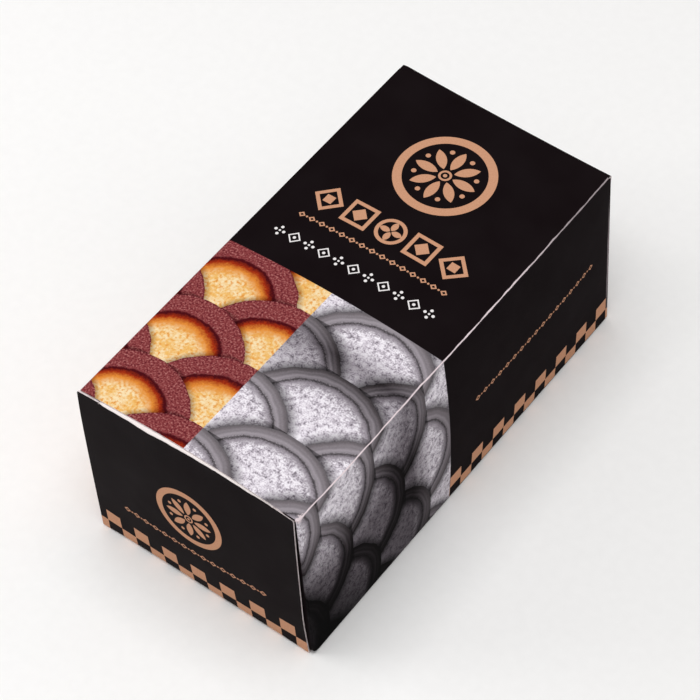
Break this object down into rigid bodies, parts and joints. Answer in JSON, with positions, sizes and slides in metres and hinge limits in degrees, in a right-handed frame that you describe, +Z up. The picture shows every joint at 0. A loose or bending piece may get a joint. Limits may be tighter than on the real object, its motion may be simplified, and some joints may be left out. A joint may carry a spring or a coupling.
{
  "type": "shut cake carton",
  "caption": "Shut printed folding carton of a small sponge cake, black with a copper checked border, its ends closed by tucked panels.",
  "frame": {"origin": "middle of the bottom, on the surface that the carton rests on", "axes": "+Z up, Y along the carton's length with the front end at -Y, X across its width"},
  "size_m": [0.0686, 0.133, 0.0598],
  "materials": {
    "printed_board": "black and copper ink under a satin varnish on coated white board"
  },
  "bodies": {
    "root": {"carton": "printed_board"}
  },
  "joints": []
}
